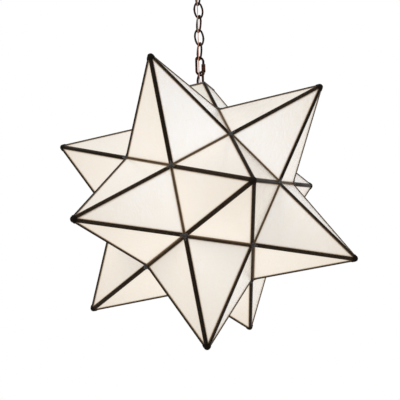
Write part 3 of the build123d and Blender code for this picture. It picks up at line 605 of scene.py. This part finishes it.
def lump(centre, radius, arms, limits=(), inward=True, gap=0.0):
    ball = bmesh.new()
    bmesh.ops.create_icosphere(ball, subdivisions=solder["fineness"], radius=1)
    for vertex in ball.verts:
        way = vertex.co.normalized()  # waved a little, so that no lump is a true ball
        wave = math.sin(9 * way.x + 5 * way.y) * math.cos(7 * way.z - 4 * way.y)
        reach = radius * (1 + solder["waviness"] * wave)
        for arm, length, spread in arms:
            reach += (length - radius) * math.exp(-((way.angle(arm) / spread) ** 2))
        vertex.co = centre + way * reach
        depths = [(vertex.co - star["centre"]).dot(normal) for normal in limits]
        if depths and not inward and min(depths) > 0:
            vertex.co -= limits[depths.index(min(depths))] * min(depths)
        elif depths and inward:
            for normal, depth in zip(limits, depths):
                vertex.co += normal * max(0, gap - depth)
    mesh = bpy.data.meshes.new("lump")
    ball.to_mesh(mesh)
    ball.free()
    return mesh


def joinedMesh(name, parts):
    whole = bmesh.new()
    for part in parts:
        whole.from_mesh(part)
        bpy.data.meshes.remove(part)
    mesh = bpy.data.meshes.new(name)
    whole.to_mesh(mesh)
    whole.free()
    return mesh


def tipLump(matrix):
    apex = matrix @ Vector((0, 0, star["tipReach"]))
    centre = matrix @ Vector((0, 0, star["tipReach"] - star["tipInset"]))
    arms = []
    for n in range(5):
        spot = apex + (matrix @ cornerInPoint(n) - apex).normalized() * solder["armAt"]
        arms.append(((spot - centre).normalized(), solder["armLength"], solder["armSpread"]))
    return lump(centre, star["tipRadius"] * solder["tipShare"], arms)


cornerSpots, tipSpots = [], []  # the star's twenty corners and twelve tips
for matrix in (*upperPoints, *lowerPoints, topPoint, doorPoint):
    tipSpots.append(matrix @ Vector((0, 0, star["tipReach"])))
    for n in range(5):
        spot = matrix @ cornerInPoint(n)
        if all((spot - other).length > solder["sameSpot"] for other in cornerSpots):
            cornerSpots.append(spot)
doorSides = []  # planes of the door's seams, facing into the door
for n in range(5):
    across, turn = -math.cos(seamTilt), n * fifth
    normal = Vector((across * math.cos(turn), across * math.sin(turn), math.sin(seamTilt)))
    doorSides.append((doorPoint.to_3x3() @ normal).normalized())


def jointArms(spot):  # along the ridges to the nearest tips, and the base cames to the nearest corners
    near = sorted(tipSpots, key=lambda tip: (tip - spot).length)[:3]
    ridges = [tip for tip in near if (tip - spot).length < solder["ridgeWithin"]]
    others = sorted(cornerSpots, key=lambda other: (other - spot).length)[1:4]
    return [((tip - spot).normalized(), solder["ridgeArm"], solder["ridgeSpread"]) for tip in ridges] + [
        ((other - spot).normalized(), solder["baseArm"], solder["baseSpread"]) for other in others
    ]


joints, doorJoints = [], []
for spot in cornerSpots:
    inward = (star["centre"] - spot).normalized()
    centre = spot + inward * solder["jointInset"]
    joints.append(lump(centre, solder["jointRadius"], jointArms(spot), doorSides, inward=False))
    if min((spot - star["centre"]).dot(normal) for normal in doorSides) > solder["doorWithin"]:
        arm = ((tipSpots[-1] - spot).normalized(), solder["doorArm"], solder["ridgeSpread"])
        centre = spot + inward * solder["doorInset"]
        doorJoints.append(lump(centre, solder["doorRadius"], [arm], doorSides, gap=star["doorGap"]))
jointMesh = eased(joinedMesh("solderJoints", joints), softCorner)
tips = [tipLump(matrix) for matrix in (*upperPoints, *lowerPoints)]
tipMesh = eased(joinedMesh("tipSolder", tips), softCorner)
doorMesh = eased(joinedMesh("doorCornerSolder", doorJoints), softCorner)
newPiece("solderJoints", jointMesh, "star", "solder", "solder_joints", finish=(finishes["solder"],))
newPiece("tipSolder", tipMesh, "star", "solder", "tip_caps", finish=(finishes["ridge"],))
doorTip = eased(tipLump(doorPoint), softCorner)
newPiece("doorTipSolder", doorTip, "door", "solder", "door_tip_cap", finish=(finishes["ridge"],))
newPiece("doorCornerSolder", doorMesh, "door", "solder", finish=(finishes["solder"],))
print("solder laid:", len(joints), "joints,", len(doorJoints), "door corners")

# Chain: one oval rule for every link, with a butt weld at the middle of one side
chain = {
    "length": 0.0443, "width": 0.0222, "wire": 0.00195, "endRadius": 0.006, "count": 6,
    "firstTop": -0.0613, "pitch": 0.0362, "weldSwell": 0.16, "weldLength": 0.0016,
}


def linkTree():
    tree, given = newTree(
        "ovalLinks", length=0.044, width=0.021, wire=0.002, endRadius=0.006, weldSwell=0.15, weldLength=0.0016,
        around=160, section=20, material=finishes["bronze"],
    )
    plus, minus, times, over = fourRules(tree)
    halfLength = minus(over(given["length"], 2.0), given["wire"])
    halfWidth = minus(over(given["width"], 2.0), given["wire"])
    endRadius = given["endRadius"]
    endCentre = minus(halfLength, endRadius)
    spare = minus(halfWidth, endRadius)
    squares = plus(calc(tree, "POWER", endCentre, 2.0), calc(tree, "POWER", halfWidth, 2.0))
    sideRadius = over(minus(squares, calc(tree, "POWER", endRadius, 2.0)), times(spare, 2.0))
    meet = over(endCentre, minus(sideRadius, endRadius))
    ring = addNode(tree, "GeometryNodeCurvePrimitiveCircle", {"Resolution": given["around"], "Radius": 1.0})
    spot = addNode(tree, "ShaderNodeSeparateXYZ", {0: tree.nodes.new("GeometryNodeInputPosition").outputs[0]})
    cosine, sine = spot.outputs["X"], spot.outputs["Y"]
    onSide = calc(tree, "LESS_THAN", calc(tree, "ABSOLUTE", sine), meet)
    offSide = minus(1.0, onSide)
    sideX = plus(times(calc(tree, "SIGN", cosine), minus(halfWidth, sideRadius)), times(cosine, sideRadius))
    endZ = plus(times(calc(tree, "SIGN", sine), endCentre), times(sine, endRadius))
    x = plus(times(sideX, onSide), times(times(cosine, endRadius), offSide))
    z = plus(times(times(sine, sideRadius), onSide), times(endZ, offSide))
    awayFromWeld = calc(tree, "POWER", over(z, given["weldLength"]), 2.0)
    near = calc(tree, "EXPONENT", times(awayFromWeld, -1.0))
    swell = times(times(near, given["weldSwell"]), calc(tree, "GREATER_THAN", cosine, 0.0))
    thickness = addNode(tree, "GeometryNodeCaptureAttribute", {"Geometry": ring.outputs[0]})
    thickness.capture_items.new("FLOAT", "swell")
    tree.links.new(plus(swell, 1.0), thickness.inputs["swell"])
    placed = {"Geometry": thickness.outputs[0], "Position": combined(tree, x, 0.0, z)}
    oval = addNode(tree, "GeometryNodeSetPosition", placed)
    circle = {"Resolution": given["section"], "Radius": given["wire"]}
    section = addNode(tree, "GeometryNodeCurvePrimitiveCircle", circle)
    swept = {"Curve": oval.outputs[0], "Profile Curve": section.outputs[0], "Scale": thickness.outputs["swell"]}
    closeTree(tree, addNode(tree, "GeometryNodeCurveToMesh", swept).outputs[0], given["material"])
    return tree


ovalLinks = linkTree()
hangTurn = Matrix.Rotation(math.radians(-10), 4, "Z")  # how far the hanging gear has turned from the bar
linkShape = {key: chain[key] for key in ("length", "width", "wire", "endRadius", "weldSwell", "weldLength")}
for n in range(chain["count"]):
    mesh = grown(ovalLinks, **linkShape)
    middle = chain["firstTop"] - n * chain["pitch"] - chain["length"] / 2
    quarter = math.radians(90 * (n % 2) + 180 * (n // 2 % 2))
    mesh.transform(Matrix.Translation((0, 0, middle)) @ hangTurn @ Matrix.Rotation(quarter, 4, "Z"))
    newPiece(f"ovalLink{n + 1}", eased(mesh, wireCorner), f"link_{n + 1}", "bronze_chain", f"chain_link_{n + 1}")
print("chain links made")


# Threads that stand on a rod, and the knurl round the canopy's collar
def threadTree():
    tree, given = newTree(
        "threadRidge", radius=0.005, pitch=0.001, length=0.01, ridge=0.0001, perTurn=40, material=finishes["brass"],
    )
    path = addNode(tree, "GeometryNodeCurveSpiral", {
        "Resolution": given["perTurn"], "Rotations": calc(tree, "DIVIDE", given["length"], given["pitch"]),
        "Start Radius": given["radius"], "End Radius": given["radius"], "Height": given["length"],
    })
    level = addNode(tree, "GeometryNodeSetCurveNormal", {"Curve": path.outputs[0]}, mode="Z_UP")
    section = addNode(tree, "GeometryNodeCurvePrimitiveCircle", {"Resolution": 4, "Radius": given["ridge"]})
    swept = {"Curve": level.outputs[0], "Profile Curve": section.outputs[0], "Fill Caps": True}
    closeTree(tree, addNode(tree, "GeometryNodeCurveToMesh", swept).outputs[0], given["material"])
    return tree


threadRidge = threadTree()
threads = {  # body, slot, finish, X, lowest and highest Z, rod radius, pitch, ridge
    "nippleThread": ("ceiling_fitting", "brass", "brass", 0, -0.0405, -0.001, 0.0050, 0.0010, 0.00014),
    "stemThread": ("star", "brass", "brass", 0, -0.3735, -0.3553, 0.0050, 0.0010, 0.00014),
    "stemLowThread": ("star", "brass", "brass", 0, -0.5225, -0.5100, 0.0050, 0.0010, 0.00014),
    "quickLinkThread": (
        "quick_link_oval", "bronze_chain", "bronze", 0.0075, -0.3060, -0.2882, 0.00225, 0.0008, 0.00012,
    ),
}
for name, (body, slotName, finish, x, low, high, radius, pitch, ridge) in threads.items():
    mesh = grown(threadRidge, radius=radius, pitch=pitch, length=high - low, ridge=ridge, material=finishes[finish])
    mesh.transform(hangTurn @ Matrix.Translation((x, 0, low)))
    newPiece(name, eased(mesh), body, slotName)


def knurlTree():
    tree, given = newTree(
        "knurledRing", radius=0.011, height=0.003, toothDepth=0.0003, toothWidth=0.0009, count=48,
        material=finishes["bronze"],
    )
    ring = addNode(tree, "GeometryNodeMeshCircle", {"Vertices": given["count"], "Radius": given["radius"]})
    size = combined(tree, given["toothDepth"], given["toothWidth"], given["height"])
    tooth = addNode(tree, "GeometryNodeMeshCylinder", {"Vertices": 10, "Radius": 0.5, "Depth": 1.0})
    fitted = addNode(tree, "GeometryNodeTransform", {"Geometry": tooth.outputs[0], "Scale": size})
    place = tree.nodes.new("GeometryNodeInputIndex").outputs[0]
    angle = calc(tree, "MULTIPLY", calc(tree, "DIVIDE", place, given["count"]), math.tau)
    copies = addNode(tree, "GeometryNodeInstanceOnPoints", {
        "Points": ring.outputs[0], "Instance": fitted.outputs[0], "Rotation": combined(tree, z=angle),
    })
    closeTree(tree, copies.outputs[0], given["material"])
    return tree


collar = {"radius": 0.01098, "height": 0.0026, "toothDepth": 0.0007, "toothWidth": 0.0010, "count": 54}
collarLevel = -0.0301
mesh = grown(knurlTree(), **collar)
mesh.transform(Matrix.Translation((0, 0, collarLevel)))
newPiece("collarKnurl", eased(mesh), "ceiling_fitting", "bronze_chain")


# Rolled threads of the screw shell and the bulb's cap: a tube whose wall waves round a helix
def rolledTree():
    tree, given = newTree(
        "rolledThread", radius=0.0131, height=0.02, pitch=0.00363, wave=0.0005, plain=0.003, around=96, along=110,
        material=finishes["brass"],
    )
    plus, minus, times, over = fourRules(tree)
    size = {"Size X": 1.0, "Size Y": 1.0, "Vertices X": given["around"], "Vertices Y": given["along"]}
    grid = addNode(tree, "GeometryNodeMeshGrid", size)
    spot = addNode(tree, "ShaderNodeSeparateXYZ", {0: tree.nodes.new("GeometryNodeInputPosition").outputs[0]})
    angle = times(plus(spot.outputs["X"], 0.5), math.tau)
    level = times(plus(spot.outputs["Y"], 0.5), given["height"])
    phase = minus(times(over(level, given["pitch"]), math.tau), angle)
    fromLow = ramp(tree, level, 0.0, given["plain"])
    fromHigh = ramp(tree, minus(given["height"], level), 0.0, given["plain"])
    wave = times(times(calc(tree, "COSINE", phase), given["wave"]), times(fromLow, fromHigh))
    radius = plus(given["radius"], wave)
    x, y = times(radius, calc(tree, "COSINE", angle)), times(radius, calc(tree, "SINE", angle))
    place = combined(tree, x, y, level)
    tube = addNode(tree, "GeometryNodeSetPosition", {"Geometry": grid.outputs[0], "Position": place})
    joined = addNode(tree, "GeometryNodeMergeByDistance", {"Geometry": tube.outputs[0], "Distance": 0.000002})
    closeTree(tree, joined.outputs[0], given["material"])
    return tree


rolledThread = rolledTree()
starZ = star["centre"].z
shell = {"radius": 0.01405, "wave": 0.00042, "pitch": 0.00363, "height": 0.022}
shellTop, shellWall = starZ + 0.073, 0.0005
mesh = thickened(grown(rolledThread, material=finishes["brass"], **shell), shellWall, 0)
mesh.transform(Matrix.Translation((0, 0, shellTop - shell["height"])))
newPiece("screwShell", eased(mesh, softCorner), "star", "brass", "screw_shell")


def turned(name, profile, steps=72):  # a closed lathe form round Z from (radius, height) pairs
    form = bmesh.new()
    rings = []
    for radius, height in profile:
        if radius == 0:
            rings.append([form.verts.new((0, 0, height))])
        else:
            angles = [math.tau * n / steps for n in range(steps)]
            rings.append([form.verts.new((radius * math.cos(a), radius * math.sin(a), height)) for a in angles])
    for lower, upper in zip(rings, rings[1:]):
        for n in range(steps):
            m = (n + 1) % steps
            if len(lower) == 1:
                form.faces.new((lower[0], upper[m], upper[n]))
            elif len(upper) == 1:
                form.faces.new((lower[n], lower[m], upper[0]))
            else:
                form.faces.new((lower[n], lower[m], upper[m], upper[n]))
    bmesh.ops.recalc_face_normals(form, faces=form.faces)
    mesh = bpy.data.meshes.new(name)
    form.to_mesh(mesh)
    form.free()
    return mesh


bulbCap = {"radius": 0.0126, "wave": 0.0004, "pitch": 0.00363, "height": 0.0185}
bulbCapLow, bulbCapWall = starZ + 0.0487, 0.0006
bulbEnd = {  # lathe profiles above the cap's lower edge
    "shoulder": [
        (0.0120, 0.0183), (0.0125, 0.0186), (0.0113, 0.0205), (0.0094, 0.0216), (0.0090, 0.0212), (0.0108, 0.0200),
    ],
    "button": [(0, 0.0205), (0.0044, 0.0205), (0.0046, 0.0218), (0.0042, 0.0232), (0.0028, 0.0239), (0, 0.0240)],
    "insulator": [(0, 0.0206), (0.0091, 0.0213), (0.0070, 0.0221), (0.0046, 0.0222), (0, 0.0222)],
}
mesh = thickened(grown(rolledThread, material=finishes["bulbCap"], **bulbCap), bulbCapWall, -1)
shoulder = turned("shoulder", bulbEnd["shoulder"])
button = turned("button", bulbEnd["button"], 40)
insulator = turned("insulator", bulbEnd["insulator"], 48)
for part in (mesh, shoulder, button, insulator):
    part.transform(Matrix.Translation((0, 0, bulbCapLow)))
capMesh = eased(joinedMesh("bulbCap", [mesh, shoulder, button]), softCorner)
newPiece("bulbCap", capMesh, "bulb", "bulb_cap", "bulb_base", finish=(finishes["bulbCap"],))
insulator = eased(insulator, softCorner)
newPiece("bulbInsulator", insulator, "bulb", "black_plastic", finish=(finishes["plastic"],))
print("lamp holder and bulb detailed")

# Lamp cord: two conductors in one clear sheath, twisted slowly, cut into lengths, one round each pivot
cord = {
    "route": [(0, 0, -0.002), (0.0003, 0, -0.033), (0, 0, -0.04725), (-0.004, -0.004, -0.0593),
              (-0.0043, -0.004, -0.08345), (-0.004, -0.0043, -0.19205), (-0.0043, -0.004, -0.3024),
              (-0.004, -0.004, -0.3299), (0, 0, -0.3469), (0.0003, 0, -0.3609), (0, 0, -0.5219)],
    "core": 0.00056, "lobe": 0.0004, "lobeRoundness": 0.8, "twist": 0.055, "section": 28, "step": 0.0011,
    "strandTurn": 0.004, "blendHalf": 0.009, "stemCut": -0.356,
}
pivots = [-0.06775, -0.10365, -0.13985, -0.17605, -0.21225, -0.24845, -0.28465, -0.32465]

routeCurve = bpy.data.curves.new("cordRoute", "CURVE")
routeCurve.dimensions = "3D"
routeCurve.resolution_u = 40
spline = routeCurve.splines.new("NURBS")
spline.points.add(len(cord["route"]) - 1)
for knot, spot in zip(spline.points, cord["route"]):
    knot.co = (*(hangTurn @ Vector(spot)), 1)
spline.order_u = 3
spline.use_endpoint_u = True
routeObject = bpy.data.objects.new("cordRoute", routeCurve)
bpy.context.scene.collection.objects.link(routeObject)
routeMesh = bpy.data.meshes.new_from_object(routeObject.evaluated_get(bpy.context.evaluated_depsgraph_get()))
routePoints = [vertex.co.copy() for vertex in routeMesh.vertices]
bpy.data.objects.remove(routeObject)


def alongRoute(level):  # the route's middle at one height, as it only goes down
    for above, below in zip(routePoints, routePoints[1:]):
        if level >= below.z and above.z > below.z:
            return above.lerp(below, max(0.0, (above.z - level) / (above.z - below.z)))
    return routePoints[-1].copy()


def cordLength(name, high, low):
    steps = max(4, round((high - low) / cord["step"]))
    levels = [high + (low - high) * n / steps for n in range(steps + 1)]
    spots = [alongRoute(level) for level in levels]
    form = bmesh.new()
    lay = form.verts.layers.float.new("lay")
    rings = []
    for n, spot in enumerate(spots):
        way = (spots[min(n + 1, steps)] - spots[max(n - 1, 0)]).normalized()
        side = Vector((0, 1, 0)).cross(way).normalized()
        other = way.cross(side)
        turn = math.tau * levels[n] / cord["twist"]
        ring = []
        for m in range(cord["section"]):
            angle = math.tau * m / cord["section"]
            reach = cord["core"] + cord["lobe"] * abs(math.cos(angle)) ** cord["lobeRoundness"]
            out = side * reach * math.cos(angle + turn)
            vertex = form.verts.new(spot + out + other * reach * math.sin(angle + turn))
            vertex[lay] = levels[n] + cord["strandTurn"] * m / cord["section"]
            ring.append(vertex)
        rings.append(ring)
    for upper, lower in zip(rings, rings[1:]):
        for m in range(cord["section"]):
            k = (m + 1) % cord["section"]
            form.faces.new((upper[m], upper[k], lower[k], lower[m]))
    form.faces.new(rings[0])
    form.faces.new(list(reversed(rings[-1])))
    bmesh.ops.recalc_face_normals(form, faces=form.faces)
    mesh = bpy.data.meshes.new(name)
    form.to_mesh(mesh)
    form.free()
    return eased(mesh, softCorner)


between = [(above + below) / 2 for above, below in zip(pivots, pivots[1:])]
cuts = [cord["route"][0][2], *between, cord["stemCut"], cord["route"][-1][2]]
for n, pivot in enumerate(pivots):
    name = f"cordLength{n + 1}"
    replaced = ["lamp_cord"] if n == 0 else []
    mesh = cordLength(name, cuts[n], cuts[n + 1])
    piece = newPiece(name, mesh, None, "cord", *replaced, finish=(finishes["cord"],))
    start, end = alongRoute(pivot + cord["blendHalf"]), alongRoute(pivot - cord["blendHalf"])
    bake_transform(piece)
newPiece("cordInStem", cordLength("cordInStem", cuts[-2], cuts[-1]), "star", "cord", finish=(finishes["cord"],))
routeLength = sum((a - b).length for a, b in zip(routePoints, routePoints[1:]))
print("lamp cord laid,", round(routeLength, 4), "m")

# Finishes of the CAD nodes that keep their own shape
kept = {
    "solder": ("top_plate",),
    "bronze": ("canopy", "canopy_collar", "canopy_loop", "quick_link", "quick_link_nut", "hang_loop"),
    "ridge": ("hinge_tubes_fixed", "hinge_tube_door"),
    "brass": ("ceiling_nipple", "lamp_stem", "stem_nut_upper", "stem_nut_lower", "holder_cap", "hinge_pin"),
    "zinc": ("mounting_bar", "bar_nut", "magnet_bracket", "door_magnet", "strike_plate"),
    "plastic": ("cord_bushing", "holder_shell", "contact_disc"),
    "bulb": ("bulb_glass",),
}
for finish, names in kept.items():
    for name in names:
        cadNodes[name].data.materials.clear()
        cadNodes[name].data.materials.append(finishes[finish])

# Floor, world and lamps
studio = {
    "floorLevel": -2.7, "floorHalf": 14.0, "floorTones": ((0.80, 0.80, 0.79, 1), (0.83, 0.83, 0.82, 1)),
    "ambient": (0.93, 0.94, 0.96, 1), "ambientStrength": 0.80,
    "key": {"place": (-2.8, -1.8, 0.4), "size": 1.8, "power": 31.0, "colour": (1.0, 0.985, 0.965)},
    "fill": {"place": (1.9, -2.6, 0.6), "size": 2.4, "power": 6.5, "colour": (1.0, 0.89, 0.74)},
    "back": {"place": (1.2, 2.6, 1.2), "size": 2.0, "power": 14.0, "colour": (1.0, 1.0, 1.0)},
    # small, and mirrored in one pane
    "pane": {"place": (-0.33, -2.56, -1.13), "size": 0.56, "power": 4.6, "colour": (0.16, 0.47, 0.93)},
}
half = studio["floorHalf"]
floorMesh = bpy.data.meshes.new("studioFloor")
corners = [(-half, -half), (half, -half), (half, half), (-half, half)]
floorMesh.from_pydata([(x, y, studio["floorLevel"]) for x, y in corners], [], [(0, 1, 2, 3)])
floorFinish, tree, shader, place = newFinish("paleFloor", Roughness=0.9, Specular_IOR_Level=0.1)
tone = ramp(tree, noiseValue(tree, place, 3.0, 2.0), *noiseRange)
tree.links.new(blendColour(tree, tone, *studio["floorTones"]), shader.inputs["Base Color"])
floorMesh.materials.append(floorFinish)
floor = bpy.data.objects.new("studioFloor", floorMesh)
bpy.context.scene.collection.objects.link(floor)

world = bpy.data.worlds.new("paleStudio")
bpy.context.scene.world = world
world.use_nodes = True
worldTree = world.node_tree
worldTree.nodes.clear()
rays = worldTree.nodes.new("ShaderNodeLightPath")
seen = calc(worldTree, "MAXIMUM", rays.outputs["Is Camera Ray"],
            calc(worldTree, "MAXIMUM", rays.outputs["Is Glossy Ray"], rays.outputs["Is Transmission Ray"]))
glow = {"Color": studio["ambient"], "Strength": studio["ambientStrength"]}
ambient = addNode(worldTree, "ShaderNodeBackground", glow)
white = addNode(worldTree, "ShaderNodeBackground", {"Color": (1, 1, 1, 1), "Strength": 1.0})
mixed = addNode(worldTree, "ShaderNodeMixShader", {0: seen, 1: ambient.outputs[0], 2: white.outputs[0]})
worldTree.links.new(mixed.outputs[0], worldTree.nodes.new("ShaderNodeOutputWorld").inputs[0])

for name in ("key", "fill", "back", "pane"):
    values = studio[name]
    lampData = bpy.data.lights.new(name + "Softbox", "AREA")
    lampData.shape = "SQUARE"
    lampData.size = values["size"]
    lampData.energy = values["power"]
    lampData.color = values["colour"]
    lamp = bpy.data.objects.new(name + "Softbox", lampData)
    lamp.location = values["place"]
    aim = star["centre"] - Vector(values["place"])
    lamp.rotation_euler = aim.to_track_quat("-Z", "Y").to_euler()
    bpy.context.scene.collection.objects.link(lamp)

bpy.context.scene.view_settings.view_transform = "Standard"
print("studio set")
